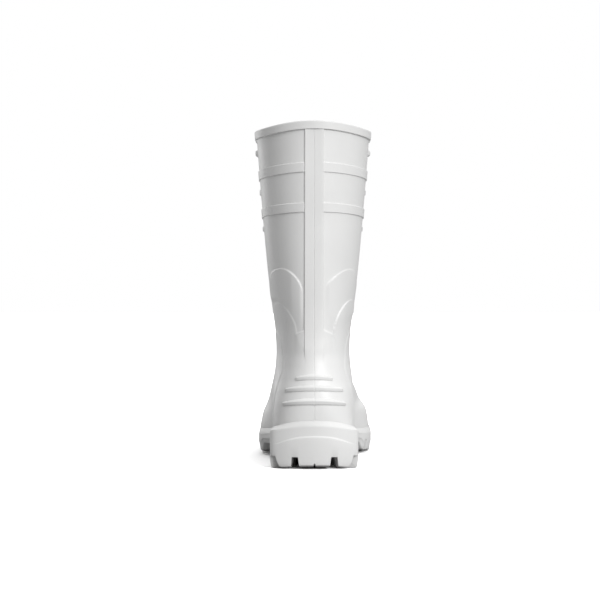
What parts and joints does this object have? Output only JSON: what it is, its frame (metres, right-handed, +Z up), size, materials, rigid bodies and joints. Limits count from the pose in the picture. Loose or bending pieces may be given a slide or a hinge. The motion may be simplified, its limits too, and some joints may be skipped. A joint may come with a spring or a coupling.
{
  "type": "waterproof work boot",
  "caption": "White moulded waterproof work boot for the left foot: a hollow knee-high leg with banded collar, heel ribs, lugged sole and loose insole, open at the top.",
  "frame": {"origin": "on the floor, under the middle of the boot's bounding box", "axes": "+Z up, +Y from heel to toe, +X towards the inner side of the foot (the wearer's right)"},
  "size_m": [0.1302, 0.3142, 0.3495],
  "materials": {
    "upper": "satin moulded PVC",
    "outsole": "satin moulded PVC",
    "insole": "felt"
  },
  "bodies": {
    "root": {"upper": "upper", "outsole": "outsole", "insole": "insole"}
  },
  "joints": []
}
